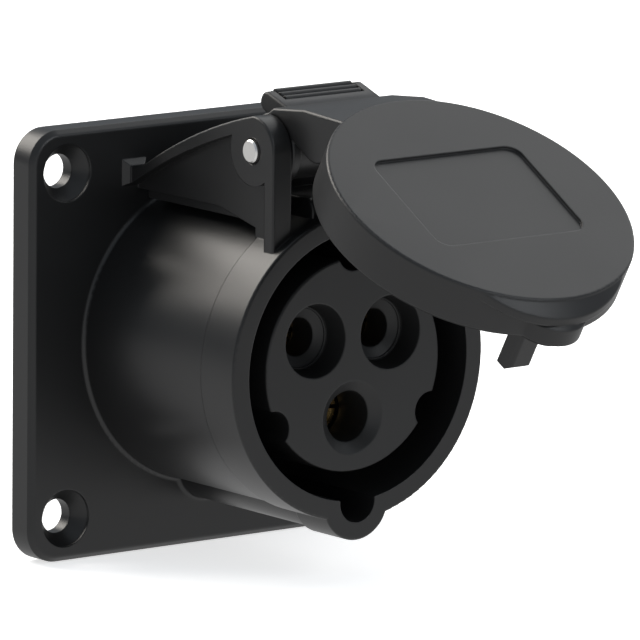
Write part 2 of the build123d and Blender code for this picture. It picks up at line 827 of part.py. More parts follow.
# Round spring rings that hold the sleeves closed on the pins
ring_sets = {
    "live_contact_rings": ((line_place, neutral_place), live_sizes),
    "earth_contact_ring": ((earth_place,), earth_sizes),
}
for ring_name, (places, (sleeve_radius, pin_radius, sleeve_front)) in ring_sets.items():
    ring_reach = sleeve_front - ring_groove_back + ring_groove_width / 2
    ring_path_radius = sleeve_radius - ring_groove_depth + ring_wire_radius + screw_thread_bite
    with BuildPart() as rings:
        for place in places:
            with BuildSketch(turning_plane(place)):
                with Locations((ring_path_radius, ring_reach)):
                    Circle(ring_wire_radius)
            revolve(axis=turning_axis(place), revolution_arc=360 - ring_gap_angle)
    rings.part.label = ring_name
    export_step(rings.part, "parts/" + ring_name + ".step")

# Terminal block: rear insulator with screw channels and wire mouths
block_back = carrier_back - terminal_block_length
with BuildPart() as terminal_block:
    with BuildSketch(front.offset(block_back)):
        Circle(block_radius)
    extrude(amount=terminal_block_length)
    fillet(terminal_block.faces().sort_by(Axis.Y)[-1].edges(), block_edge_radius)
    with BuildSketch(front.offset(terminal_back - contact_seat_gap)):
        with Locations(line_place, neutral_place, earth_place):
            Circle(terminal_radius + terminal_bore_fit)
    extrude(amount=terminal_block_length, mode=Mode.SUBTRACT)
    with BuildSketch(front.offset(block_back)):
        with Locations(line_place, neutral_place, earth_place):
            Circle(terminal_mouth_radius)
    extrude(amount=terminal_block_length, mode=Mode.SUBTRACT)
    for place in (line_place, neutral_place, earth_place):
        with BuildSketch(outward_plane(place, terminal_screw_height)):
            Circle(terminal_access_radius)
        extrude(amount=block_radius, mode=Mode.SUBTRACT)
    with BuildSketch(front.offset(block_back)):
        Circle(block_screw_radius + block_screw_hole_fit)
    extrude(amount=terminal_block_length, mode=Mode.SUBTRACT)
    with BuildSketch(front.offset(block_back)):
        Circle(block_screw_head_radius + block_screw_head_gap)
    extrude(amount=block_screw_recess, mode=Mode.SUBTRACT)
terminal_block.part.label = "terminal_block"
export_step(terminal_block.part, "parts/terminal_block.step")

# Terminal screws, one to each contact
with BuildPart() as terminal_screws:
    for place in (line_place, neutral_place, earth_place):
        seat = outward_plane(place, terminal_screw_height).offset(terminal_radius + terminal_screw_tip_gap)
        with BuildSketch(seat):
            Circle(terminal_screw_radius)
        extrude(amount=-(terminal_radius - terminal_wire_radius / 2))
        with BuildSketch(seat):
            Circle(terminal_screw_head_radius)
        extrude(amount=terminal_screw_head_height)
        with BuildSketch(seat.offset(terminal_screw_head_height - slot_depth)):
            Rectangle(slot_width, 3 * terminal_screw_head_radius)
        extrude(amount=slot_depth, mode=Mode.SUBTRACT)
terminal_screws.part.label = "terminal_screws"
export_step(terminal_screws.part, "parts/terminal_screws.step")

# Screws through the collar floor that hold the carrier
with BuildPart() as carrier_screws:
    with BuildSketch(front.offset(collar_floor_height)):
        with PolarLocations(carrier_screw_circle, 3, start_angle=90):
            Circle(carrier_screw_radius)
    extrude(amount=-carrier_screw_length)
    with BuildSketch(front.offset(collar_floor_height)):
        with PolarLocations(carrier_screw_circle, 3, start_angle=90):
            Circle(carrier_screw_head_radius)
    extrude(amount=carrier_screw_head_height)
    with BuildSketch(front.offset(collar_floor_height + carrier_screw_head_height - slot_depth)):
        with PolarLocations(carrier_screw_circle, 3, start_angle=90):
            Rectangle(slot_width, 3 * carrier_screw_head_radius)
    extrude(amount=slot_depth, mode=Mode.SUBTRACT)
carrier_screws.part.label = "carrier_screws"
export_step(carrier_screws.part, "parts/carrier_screws.step")

# Long screw that joins the terminal block to the carrier
block_screw_seat = block_back + block_screw_recess
with BuildPart() as block_screw:
    with BuildSketch(front.offset(block_screw_seat)):
        Circle(block_screw_radius)
    extrude(amount=block_screw_length)
    with BuildSketch(front.offset(block_screw_seat)):
        Circle(block_screw_head_radius)
    extrude(amount=-block_screw_head_height)
    with BuildSketch(front.offset(block_screw_seat - block_screw_head_height)):
        Rectangle(slot_width, 3 * block_screw_head_radius)
    extrude(amount=slot_depth, mode=Mode.SUBTRACT)
block_screw.part.label = "block_screw"
export_step(block_screw.part, "parts/block_screw.step")
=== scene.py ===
import json
from math import atan2, cos, pi, radians, sin

import bpy
from mathutils import Euler, Matrix, Vector


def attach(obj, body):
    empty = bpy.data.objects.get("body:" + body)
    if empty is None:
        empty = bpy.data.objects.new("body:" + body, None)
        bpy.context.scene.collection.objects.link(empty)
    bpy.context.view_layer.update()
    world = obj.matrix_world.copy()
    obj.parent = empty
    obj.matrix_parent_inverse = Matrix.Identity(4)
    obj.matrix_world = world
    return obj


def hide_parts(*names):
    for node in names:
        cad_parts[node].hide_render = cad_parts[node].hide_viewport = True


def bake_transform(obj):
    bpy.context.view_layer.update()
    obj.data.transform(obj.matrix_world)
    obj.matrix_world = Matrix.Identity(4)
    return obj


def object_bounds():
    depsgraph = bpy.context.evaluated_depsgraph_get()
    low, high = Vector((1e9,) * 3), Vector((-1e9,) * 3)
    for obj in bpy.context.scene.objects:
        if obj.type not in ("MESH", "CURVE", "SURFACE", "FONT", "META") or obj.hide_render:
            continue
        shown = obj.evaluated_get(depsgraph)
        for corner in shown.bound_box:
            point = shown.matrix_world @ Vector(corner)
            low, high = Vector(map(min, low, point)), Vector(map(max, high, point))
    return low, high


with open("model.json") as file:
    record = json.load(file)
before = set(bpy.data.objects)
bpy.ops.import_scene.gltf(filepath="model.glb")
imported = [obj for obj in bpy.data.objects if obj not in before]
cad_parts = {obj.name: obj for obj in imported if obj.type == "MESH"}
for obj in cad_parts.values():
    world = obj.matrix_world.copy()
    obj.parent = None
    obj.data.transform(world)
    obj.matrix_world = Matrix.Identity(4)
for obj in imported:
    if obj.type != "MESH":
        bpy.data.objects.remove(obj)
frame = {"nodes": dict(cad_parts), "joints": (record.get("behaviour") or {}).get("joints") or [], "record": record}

cadBox = [list(corner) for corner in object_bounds()]
scene = bpy.context.scene
mm = 0.001  # the frame is in metres, and the pieces' sizes below are in millimetres
lidHinge = next(joint for joint in frame["joints"] if joint["name"] == "lid_hinge")
hingePoint = Vector(lidHinge["pos_m"])  # the middle of the hinge pin
lidOpen = lidHinge["range_deg"][1]  # how far the lid stands open at rest


# Node trees

def newGroup(name, kind, inputs, outputs):
    tree = bpy.data.node_groups.new(name, kind)
    for label, socketType, value in inputs:
        socket = tree.interface.new_socket(name=label, in_out="INPUT", socket_type=socketType)
        if value is not None:
            socket.default_value = value
    for label, socketType in outputs:
        tree.interface.new_socket(name=label, in_out="OUTPUT", socket_type=socketType)
    source = tree.nodes.new("NodeGroupInput")
    sink = tree.nodes.new("NodeGroupOutput")
    return tree, source, sink


def addNode(tree, kind, values=None, **settings):
    node = tree.nodes.new(kind)
    for key, value in settings.items():
        setattr(node, key, value)
    for key, value in (values or {}).items():
        node.inputs[key].default_value = value
    return node


# Shader groups that the materials share

skinPattern = {
    "grain": {"Detail": 3.0, "Roughness": 0.6}, "flow": {"Detail": 1.0, "Roughness": 0.4},
    "cloud": {"Detail": 4.0, "Roughness": 0.55}, "flowToCloud": 1.7, "edgeSamples": 6,
}
wearPattern = {
    "breakup": {"Detail": 5.0, "Roughness": 0.65}, "edgeSamples": 4,
    "edgeTurn": {"From Min": 0.995, "From Max": 0.86},  # cosine of the turn where wear starts and is full
    "patches": {"From Min": 0.35, "From Max": 0.65},
}
markPattern = {
    "marks": {"Scale": 1.0, "Detail": 4.0, "Roughness": 0.6}, "stain": {"Scale": 260.0, "Detail": 3.0},
}
noiseMiddle = 0.5  # a noise swings about this
surfaceOutputs = [
    ("Normal", "NodeSocketVector"), ("Roughness", "NodeSocketFloat"), ("Tone", "NodeSocketFloat"),
]


def spreadGloss(tree, source, noise):
    # roughness that swings about its base with a noise
    link = tree.links.new
    spread = addNode(tree, "ShaderNodeMath", {1: noiseMiddle}, operation="SUBTRACT")
    gloss = addNode(tree, "ShaderNodeMath", operation="MULTIPLY_ADD")
    link(noise.outputs["Fac"], spread.inputs[0])
    link(spread.outputs[0], gloss.inputs[0])
    link(source.outputs["Gloss Spread"], gloss.inputs[1])
    link(source.outputs["Base Roughness"], gloss.inputs[2])
    return gloss.outputs[0]


def makeSkinGroup():
    # moulded skin: a fine grain on a slowly uneven face, with soft edges
    tree, source, sink = newGroup("mouldedSkin", "ShaderNodeTree", [
        ("Grain Size", "NodeSocketFloat", 3200.0), ("Grain Depth", "NodeSocketFloat", 0.000012),
        ("Cloud Size", "NodeSocketFloat", 60.0), ("Base Roughness", "NodeSocketFloat", 0.36),
        ("Gloss Spread", "NodeSocketFloat", 0.06), ("Flow Depth", "NodeSocketFloat", 0.00002),
        ("Edge Radius", "NodeSocketFloat", 0.0003)], surfaceOutputs)
    link = tree.links.new
    coords = addNode(tree, "ShaderNodeTexCoord")
    grain = addNode(tree, "ShaderNodeTexNoise", skinPattern["grain"])
    flow = addNode(tree, "ShaderNodeTexNoise", skinPattern["flow"])
    cloud = addNode(tree, "ShaderNodeTexNoise", skinPattern["cloud"])
    for texture in (grain, flow, cloud):
        link(coords.outputs["Object"], texture.inputs["Vector"])
    flowScale = addNode(tree, "ShaderNodeMath", {1: skinPattern["flowToCloud"]}, operation="MULTIPLY")
    link(source.outputs["Grain Size"], grain.inputs["Scale"])
    link(source.outputs["Cloud Size"], cloud.inputs["Scale"])
    link(source.outputs["Cloud Size"], flowScale.inputs[0])
    link(flowScale.outputs[0], flow.inputs["Scale"])
    rounded = addNode(tree, "ShaderNodeBevel", samples=skinPattern["edgeSamples"])
    flowBump = addNode(tree, "ShaderNodeBump")
    grainBump = addNode(tree, "ShaderNodeBump")
    link(source.outputs["Edge Radius"], rounded.inputs["Radius"])
    link(rounded.outputs["Normal"], flowBump.inputs["Normal"])
    link(source.outputs["Flow Depth"], flowBump.inputs["Distance"])
    link(flow.outputs["Fac"], flowBump.inputs["Height"])
    link(flowBump.outputs["Normal"], grainBump.inputs["Normal"])
    link(source.outputs["Grain Depth"], grainBump.inputs["Distance"])
    link(grain.outputs["Fac"], grainBump.inputs["Height"])
    link(grainBump.outputs["Normal"], sink.inputs["Normal"])
    link(spreadGloss(tree, source, cloud), sink.inputs["Roughness"])
    link(cloud.outputs["Fac"], sink.inputs["Tone"])
    return tree


def makeEdgeGroup():
    # edges that fingers and plugs have rubbed: the rounded normal leaves the true one there
    tree, source, sink = newGroup("handledEdges", "ShaderNodeTree", [
        ("Width", "NodeSocketFloat", 0.0005), ("Breakup Size", "NodeSocketFloat", 420.0)],
        [("Mask", "NodeSocketFloat")])
    link = tree.links.new
    coords = addNode(tree, "ShaderNodeTexCoord")
    breakup = addNode(tree, "ShaderNodeTexNoise", wearPattern["breakup"])
    link(coords.outputs["Object"], breakup.inputs["Vector"])
    link(source.outputs["Breakup Size"], breakup.inputs["Scale"])
    rounded = addNode(tree, "ShaderNodeBevel", samples=wearPattern["edgeSamples"])
    surface = addNode(tree, "ShaderNodeNewGeometry")
    turn = addNode(tree, "ShaderNodeVectorMath", operation="DOT_PRODUCT")
    link(source.outputs["Width"], rounded.inputs["Radius"])
    link(rounded.outputs["Normal"], turn.inputs[0])
    link(surface.outputs["Normal"], turn.inputs[1])
    edges = addNode(tree, "ShaderNodeMapRange", wearPattern["edgeTurn"])
    patches = addNode(tree, "ShaderNodeMapRange", wearPattern["patches"])
    mask = addNode(tree, "ShaderNodeMath", operation="MULTIPLY")
    link(turn.outputs["Value"], edges.inputs["Value"])
    link(breakup.outputs["Fac"], patches.inputs["Value"])
    link(edges.outputs["Result"], mask.inputs[0])
    link(patches.outputs["Result"], mask.inputs[1])
    link(mask.outputs[0], sink.inputs["Mask"])
    return tree


def makeTurnedGroup():
    # lathe and drawing marks: fine noise that is stretched round one axis
    tree, source, sink = newGroup("turnedMarks", "ShaderNodeTree", [
        ("Axis Scale", "NodeSocketVector", (1.0, 1.0, 1.0)), ("Mark Depth", "NodeSocketFloat", 0.000004),
        ("Base Roughness", "NodeSocketFloat", 0.25), ("Gloss Spread", "NodeSocketFloat", 0.12)],
        surfaceOutputs)
    link = tree.links.new
    coords = addNode(tree, "ShaderNodeTexCoord")
    stretch = addNode(tree, "ShaderNodeVectorMath", operation="MULTIPLY")
    marks = addNode(tree, "ShaderNodeTexNoise", markPattern["marks"])
    stain = addNode(tree, "ShaderNodeTexNoise", markPattern["stain"])
    bump = addNode(tree, "ShaderNodeBump")
    link(coords.outputs["Object"], stretch.inputs[0])
    link(source.outputs["Axis Scale"], stretch.inputs[1])
    link(stretch.outputs["Vector"], marks.inputs["Vector"])
    link(coords.outputs["Object"], stain.inputs["Vector"])
    link(source.outputs["Mark Depth"], bump.inputs["Distance"])
    link(marks.outputs["Fac"], bump.inputs["Height"])
    link(bump.outputs["Normal"], sink.inputs["Normal"])
    link(spreadGloss(tree, source, marks), sink.inputs["Roughness"])
    link(stain.outputs["Fac"], sink.inputs["Tone"])
    return tree


mouldedSkin = makeSkinGroup()
handledEdges = makeEdgeGroup()
turnedMarks = makeTurnedGroup()
print("stage: shader groups ready")


# Materials

mixFactor, mixFirst, mixSecond, mixResult = 0, 6, 7, 2  # the Mix node's sockets when it mixes colours


def startMaterial(name, look):
    material = bpy.data.materials.new(name)
    material.use_nodes = True
    tree = material.node_tree
    shader = tree.nodes["Principled BSDF"]
    shader.inputs["Specular IOR Level"].default_value = look["specular"]
    shader.inputs["IOR"].default_value = look["ior"]
    return material, tree, shader


def mixColours(tree, factor, first, second):
    # each of the two is a colour, or another node's output
    mix = addNode(tree, "ShaderNodeMix", data_type="RGBA")
    tree.links.new(factor, mix.inputs[mixFactor])
    for place, colour in ((mixFirst, first), (mixSecond, second)):
        if isinstance(colour, tuple):
            mix.inputs[place].default_value = (*colour, 1.0)
        else:
            tree.links.new(colour, mix.inputs[place])
    return mix.outputs[mixResult]


def makePlastic(name, look):
    material, tree, shader = startMaterial(name, look)
    link = tree.links.new
    skin = addNode(tree, "ShaderNodeGroup", look["skin"], node_tree=mouldedSkin)
    edges = addNode(tree, "ShaderNodeGroup", look["edges"], node_tree=handledEdges)
    amount = addNode(tree, "ShaderNodeMath", {1: look["edgeAmount"]}, operation="MULTIPLY")
    polish = addNode(tree, "ShaderNodeMath", {1: -look["edgePolish"]}, operation="MULTIPLY_ADD")
    body = mixColours(tree, skin.outputs["Tone"], look["dark"], look["light"])
    link(edges.outputs["Mask"], amount.inputs[0])
    link(mixColours(tree, amount.outputs[0], body, look["worn"]), shader.inputs["Base Color"])
    link(edges.outputs["Mask"], polish.inputs[0])
    link(skin.outputs["Roughness"], polish.inputs[2])
    link(polish.outputs[0], shader.inputs["Roughness"])
    link(skin.outputs["Normal"], shader.inputs["Normal"])
    return material


def makeMetal(name, look):
    material, tree, shader = startMaterial(name, look)
    link = tree.links.new
    shader.inputs["Metallic"].default_value = 1.0
    marks = addNode(tree, "ShaderNodeGroup", look["marks"], node_tree=turnedMarks)
    link(mixColours(tree, marks.outputs["Tone"], look["dark"], look["light"]), shader.inputs["Base Color"])
    link(marks.outputs["Roughness"], shader.inputs["Roughness"])
    link(marks.outputs["Normal"], shader.inputs["Normal"])
    return material


housingLook = {
    "dark": (0.0085, 0.0087, 0.0092), "light": (0.0125, 0.0126, 0.0130), "worn": (0.030, 0.030, 0.030),
    "specular": 0.5, "ior": 1.5, "edgeAmount": 0.35, "edgePolish": 0.06,
    "skin": {"Grain Size": 3200.0, "Grain Depth": 0.000010, "Cloud Size": 55.0, "Base Roughness": 0.36,
             "Gloss Spread": 0.07, "Flow Depth": 0.000018},
    "edges": {"Width": 0.0005, "Breakup Size": 420.0},
}
lidLook = {
    **housingLook,
    "dark": (0.0100, 0.0101, 0.0105), "light": (0.0145, 0.0145, 0.0148),
    "skin": {"Grain Size": 3000.0, "Grain Depth": 0.000011, "Cloud Size": 48.0, "Base Roughness": 0.40,
             "Gloss Spread": 0.07, "Flow Depth": 0.000015, "Edge Radius": 0.0004},
}
insulatorLook = {
    **housingLook,
    "dark": (0.0105, 0.0108, 0.0112), "light": (0.0150, 0.0152, 0.0155),
    "skin": {"Grain Size": 2600.0, "Grain Depth": 0.000012, "Cloud Size": 70.0, "Base Roughness": 0.44,
             "Gloss Spread": 0.06, "Flow Depth": 0.000010, "Edge Radius": 0.00045},
}
rubberLook = {
    **housingLook,
    "dark": (0.0090, 0.0090, 0.0092), "light": (0.0150, 0.0150, 0.0150),
    "edgeAmount": 0.15, "edgePolish": 0.0,
    "skin": {"Grain Size": 2200.0, "Grain Depth": 0.000020, "Cloud Size": 110.0, "Base Roughness": 0.68,
             "Gloss Spread": 0.10, "Flow Depth": 0.000020},
}
pinLook = {
    "dark": (0.76, 0.75, 0.73), "light": (0.90, 0.89, 0.87), "specular": 0.5, "ior": 1.5,
    "marks": {"Axis Scale": (900.0, 5200.0, 5200.0), "Mark Depth": 0.0000015, "Base Roughness": 0.30,
              "Gloss Spread": 0.10},
}
springLook = {
    **pinLook,
    "dark": (0.48, 0.48, 0.49), "light": (0.62, 0.62, 0.62),
    "marks": {"Axis Scale": (2400.0, 2400.0, 2400.0), "Mark Depth": 0.0000015, "Base Roughness": 0.26,
              "Gloss Spread": 0.12},
}
brassLook = {
    **pinLook,
    "dark": (0.52, 0.33, 0.11), "light": (0.74, 0.52, 0.22),
    "marks": {"Axis Scale": (500.0, 6400.0, 500.0), "Mark Depth": 0.000002, "Base Roughness": 0.28,
              "Gloss Spread": 0.14},
}
screwLook = {
    **pinLook,
    "dark": (0.56, 0.56, 0.57), "light": (0.72, 0.72, 0.72),
    "marks": {"Axis Scale": (1500.0, 1500.0, 1500.0), "Mark Depth": 0.000002, "Base Roughness": 0.30,
              "Gloss Spread": 0.12},
}

slotMaterials = {
    "housing_plastic": makePlastic("housingPlastic", housingLook),
    "lid_plastic": makePlastic("lidPlastic", lidLook),
    "insulator_plastic": makePlastic("insulatorPlastic", insulatorLook),
    "seal_rubber": makePlastic("sealRubber", rubberLook),
    "pin_steel": makeMetal("pinSteel", pinLook),
    "spring_steel": makeMetal("springSteel", springLook),
    "contact_brass": makeMetal("contactBrass", brassLook),
    "screw_steel": makeMetal("screwSteel", screwLook),
}
print("stage: materials ready")


# CAD nodes: their finish, and shading that keeps flats flat and rounds round

nodeShading = {"creaseAngle": 24.0, "weldDistance": 0.001, "flatWeight": 100}


def makeShadeTree():
    tree, source, sink = newGroup("shadeByAngle", "GeometryNodeTree", [
        ("Geometry", "NodeSocketGeometry", None),
        ("Crease Angle", "NodeSocketFloat", radians(nodeShading["creaseAngle"])),
        ("Weld Distance", "NodeSocketFloat", nodeShading["weldDistance"] * mm)],
        [("Geometry", "NodeSocketGeometry")])
    link = tree.links.new
    weld = addNode(tree, "GeometryNodeMergeByDistance")
    link(source.outputs["Geometry"], weld.inputs["Geometry"])
    link(source.outputs["Weld Distance"], weld.inputs["Distance"])
    smooth = addNode(tree, "GeometryNodeSetShadeSmooth", {"Shade Smooth": True}, domain="FACE")
    link(weld.outputs["Geometry"], smooth.inputs["Geometry"])
    angle = addNode(tree, "GeometryNodeInputMeshEdgeAngle")
    compare = addNode(tree, "FunctionNodeCompare", data_type="FLOAT", operation="LESS_EQUAL")
    link(angle.outputs["Unsigned Angle"], compare.inputs[0])
    link(source.outputs["Crease Angle"], compare.inputs[1])
    crease = addNode(tree, "GeometryNodeSetShadeSmooth", domain="EDGE")
    link(smooth.outputs["Geometry"], crease.inputs["Geometry"])
    link(compare.outputs["Result"], crease.inputs["Shade Smooth"])
    link(crease.outputs["Geometry"], sink.inputs["Geometry"])
    return tree


def finishNodes():
    shadeTree = makeShadeTree()
    nodeSlots = {part["node"]: part["material_slot"] for part in frame["record"]["subparts"]}
    for name, node in frame["nodes"].items():
        shade = node.modifiers.new("shadeByAngle", "NODES")
        shade.node_group = shadeTree
        weights = node.modifiers.new("weightedNormals", "WEIGHTED_NORMAL")
        weights.keep_sharp = True
        weights.weight = nodeShading["flatWeight"]
        node.data.materials.clear()
        node.data.materials.append(slotMaterials[nodeSlots[name]])


finishNodes()
print("stage: CAD nodes finished")


# What the grown pieces share

def endTree(tree, source, sink, geometry):
    real = addNode(tree, "GeometryNodeRealizeInstances")
    finish = addNode(tree, "GeometryNodeSetMaterial")
    tree.links.new(geometry, real.inputs["Geometry"])
    tree.links.new(real.outputs["Geometry"], finish.inputs["Geometry"])
    tree.links.new(source.outputs["Material"], finish.inputs["Material"])
    tree.links.new(finish.outputs["Geometry"], sink.inputs["Geometry"])


def growPiece(name, tree, values, creaseAngle):
    # runs a tree on an empty object, and keeps what it makes as a plain mesh
    piece = bpy.data.objects.new(name, bpy.data.meshes.new(name))
    scene.collection.objects.link(piece)
    grower = piece.modifiers.new("grower", "NODES")
    grower.node_group = tree
    sockets = {item.name: item.identifier for item in tree.interface.items_tree if item.in_out == "INPUT"}
    for label, value in values.items():
        grower[sockets[label]] = value
    grown = piece.evaluated_get(bpy.context.evaluated_depsgraph_get())
    mesh = bpy.data.meshes.new_from_object(grown)
    piece.modifiers.remove(grower)
    piece.data = mesh
    mesh.name = name
    mesh.materials.clear()  # the primitives bring an empty slot of their own
    mesh.materials.append(values["Material"])
    mesh.polygons.foreach_set("material_index", [0] * len(mesh.polygons))
    mesh.set_sharp_from_angle(angle=radians(creaseAngle))
    return piece


# Hinge spring: one wire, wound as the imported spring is, with a leg at each end

hingeSpring = {
    "coilRadius": 2.95, "wireRadius": 0.5, "turns": 4.25, "pitch": 1.2, "standingLeg": 8.45, "lidLeg": 9.0,
    "pointsPerTurn": 40, "wireSides": 14, "weldDistance": 0.01, "creaseAngle": 50.0,
}


def makeWireTree():
    tree, source, sink = newGroup("springWire", "GeometryNodeTree", [
        ("Coil Radius", "NodeSocketFloat", 0.003), ("Wire Radius", "NodeSocketFloat", 0.0005),
        ("Turns", "NodeSocketFloat", 4.25), ("Coil Length", "NodeSocketFloat", 0.005),
        ("Standing Leg", "NodeSocketFloat", 0.008), ("Lid Leg", "NodeSocketFloat", 0.009),
        ("Points Per Turn", "NodeSocketInt", 40), ("Wire Sides", "NodeSocketInt", 14),
        ("Weld Distance", "NodeSocketFloat", 0.00001), ("Start", "NodeSocketVector", (0.0, 0.0, 0.0)),
        ("Turn", "NodeSocketRotation", None), ("Material", "NodeSocketMaterial", None)],
        [("Geometry", "NodeSocketGeometry")])
    link = tree.links.new
    coil = addNode(tree, "GeometryNodeCurveSpiral", {"Reverse": True})  # wound left-handed
    link(source.outputs["Points Per Turn"], coil.inputs["Resolution"])
    link(source.outputs["Turns"], coil.inputs["Rotations"])
    link(source.outputs["Coil Radius"], coil.inputs["Start Radius"])
    link(source.outputs["Coil Radius"], coil.inputs["End Radius"])
    link(source.outputs["Coil Length"], coil.inputs["Height"])
    curves = [coil.outputs["Curve"]]
    legs = (("Standing Leg", 0.0, (0.0, 1.0, 0.0)), ("Lid Leg", 1.0, (-1.0, 0.0, 0.0)))
    for legName, coilEnd, direction in legs:  # each leg leaves the coil at one of its ends
        root = addNode(tree, "GeometryNodeSampleCurve", {"Factor": coilEnd}, mode="FACTOR")
        reach = addNode(tree, "ShaderNodeVectorMath", {0: direction}, operation="SCALE")
        tip = addNode(tree, "ShaderNodeVectorMath", operation="ADD")
        leg = addNode(tree, "GeometryNodeCurvePrimitiveLine")
        link(coil.outputs["Curve"], root.inputs["Curves"])
        link(source.outputs[legName], reach.inputs["Scale"])
        link(root.outputs["Position"], tip.inputs[0])
        link(reach.outputs["Vector"], tip.inputs[1])
        link(root.outputs["Position"], leg.inputs["Start"])
        link(tip.outputs["Vector"], leg.inputs["End"])
        curves.append(leg.outputs["Curve"])
    joined = addNode(tree, "GeometryNodeJoinGeometry")
    for curve in curves:
        link(curve, joined.inputs["Geometry"])
    runs = addNode(tree, "GeometryNodeCurveToMesh")
    weld = addNode(tree, "GeometryNodeMergeByDistance")  # makes one line of the coil and its legs
    path = addNode(tree, "GeometryNodeMeshToCurve")
    link(joined.outputs["Geometry"], runs.inputs["Curve"])
    link(runs.outputs["Mesh"], weld.inputs["Geometry"])
    link(source.outputs["Weld Distance"], weld.inputs["Distance"])
    link(weld.outputs["Geometry"], path.inputs["Mesh"])
    section = addNode(tree, "GeometryNodeCurvePrimitiveCircle")
    wire = addNode(tree, "GeometryNodeCurveToMesh", {"Fill Caps": True})
    smooth = addNode(tree, "GeometryNodeSetShadeSmooth", {"Shade Smooth": True})
    place = addNode(tree, "GeometryNodeTransform")
    link(source.outputs["Wire Sides"], section.inputs["Resolution"])
    link(source.outputs["Wire Radius"], section.inputs["Radius"])
    link(path.outputs["Curve"], wire.inputs["Curve"])
    link(section.outputs["Curve"], wire.inputs["Profile Curve"])
    link(wire.outputs["Mesh"], smooth.inputs["Geometry"])
    link(smooth.outputs["Geometry"], place.inputs["Geometry"])
    link(source.outputs["Start"], place.inputs["Translation"])
    link(source.outputs["Turn"], place.inputs["Rotation"])
    endTree(tree, source, sink, place.outputs["Geometry"])
    return tree


def makeHingeSpring(sizes):
    wireRadius = sizes["wireRadius"] * mm
    coilLength = sizes["turns"] * sizes["pitch"] * mm
    start = hingePoint + Vector((coilLength / 2, 0.0, 0.0))
    lying = Matrix(((0.0, 0.0, -1.0), (1.0, 0.0, 0.0), (0.0, -1.0, 0.0)))  # X to Y, Y to -Z, Z to -X
    spring = growPiece("hinge_spring_wire", makeWireTree(), {
        "Coil Radius": sizes["coilRadius"] * mm, "Wire Radius": wireRadius,
        "Turns": sizes["turns"], "Coil Length": coilLength,
        "Standing Leg": sizes["standingLeg"] * mm, "Lid Leg": sizes["lidLeg"] * mm,
        "Points Per Turn": sizes["pointsPerTurn"], "Wire Sides": sizes["wireSides"],
        "Weld Distance": sizes["weldDistance"] * mm, "Start": start, "Turn": lying.to_euler(),
        "Material": slotMaterials["spring_steel"],
    }, sizes["creaseAngle"])
    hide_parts("hinge_spring")
    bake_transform(spring)


makeHingeSpring(hingeSpring)
print("stage: hinge spring wound")


# Thumb grip: three rods on a pad that fill the tab's pocket to its face

thumbGrip = {
    "faceLow": (3.3, 6.2), "faceHigh": (9.8, 4.9),  # ends of the tab's face: up from the pin, and out
    "ribCount": 3, "ribRadius": 0.58, "ribPitch": 1.36, "ribFirst": 3.36, "ribSink": 0.42,
    "ribHalfWidth": 8.0, "ribSides": 24,
    "padHalfWidth": 8.48, "padLow": 2.5, "padLength": 3.55, "padSink": 0.75, "padDepth": 1.2,
    "creaseAngle": 40.0,
}


def makeGripTree():
    tree, source, sink = newGroup("gripRibs", "GeometryNodeTree", [
        ("Rib Count", "NodeSocketInt", 3), ("Rib Pitch", "NodeSocketVector", (0.0, 0.0014, 0.0)),
        ("First Rib", "NodeSocketVector", (0.0, 0.0, 0.0)), ("Rib Radius", "NodeSocketFloat", 0.0006),
        ("Rib Length", "NodeSocketFloat", 0.017), ("Rib Sides", "NodeSocketInt", 24),
        ("Pad Size", "NodeSocketVector", (0.017, 0.004, 0.001)),
        ("Pad Middle", "NodeSocketVector", (0.0, 0.0, 0.0)), ("Face Turn", "NodeSocketRotation", None),
        ("Hinge", "NodeSocketVector", (0.0, 0.0, 0.0)), ("Lid Turn", "NodeSocketRotation", None),
        ("Material", "NodeSocketMaterial", None)], [("Geometry", "NodeSocketGeometry")])
    link = tree.links.new
    rows = addNode(tree, "GeometryNodeMeshLine", mode="OFFSET")
    link(source.outputs["Rib Count"], rows.inputs["Count"])
    link(source.outputs["First Rib"], rows.inputs["Start Location"])
    link(source.outputs["Rib Pitch"], rows.inputs["Offset"])
    rod = addNode(tree, "GeometryNodeMeshCylinder")
    link(source.outputs["Rib Sides"], rod.inputs["Vertices"])
    link(source.outputs["Rib Radius"], rod.inputs["Radius"])
    link(source.outputs["Rib Length"], rod.inputs["Depth"])
    across = addNode(tree, "GeometryNodeTransform", {"Rotation": (0.0, pi / 2, 0.0)})
    ribs = addNode(tree, "GeometryNodeInstanceOnPoints")
    link(rod.outputs["Mesh"], across.inputs["Geometry"])
    link(rows.outputs["Mesh"], ribs.inputs["Points"])
    link(across.outputs["Geometry"], ribs.inputs["Instance"])
    pad = addNode(tree, "GeometryNodeMeshCube")
    tilt = addNode(tree, "GeometryNodeTransform")
    link(source.outputs["Pad Size"], pad.inputs["Size"])
    link(pad.outputs["Mesh"], tilt.inputs["Geometry"])
    link(source.outputs["Pad Middle"], tilt.inputs["Translation"])
    link(source.outputs["Face Turn"], tilt.inputs["Rotation"])
    joined = addNode(tree, "GeometryNodeJoinGeometry")
    place = addNode(tree, "GeometryNodeTransform")
    link(ribs.outputs["Instances"], joined.inputs["Geometry"])
    link(tilt.outputs["Geometry"], joined.inputs["Geometry"])
    link(joined.outputs["Geometry"], place.inputs["Geometry"])
    link(source.outputs["Hinge"], place.inputs["Translation"])
    link(source.outputs["Lid Turn"], place.inputs["Rotation"])
    endTree(tree, source, sink, place.outputs["Geometry"])
    return tree


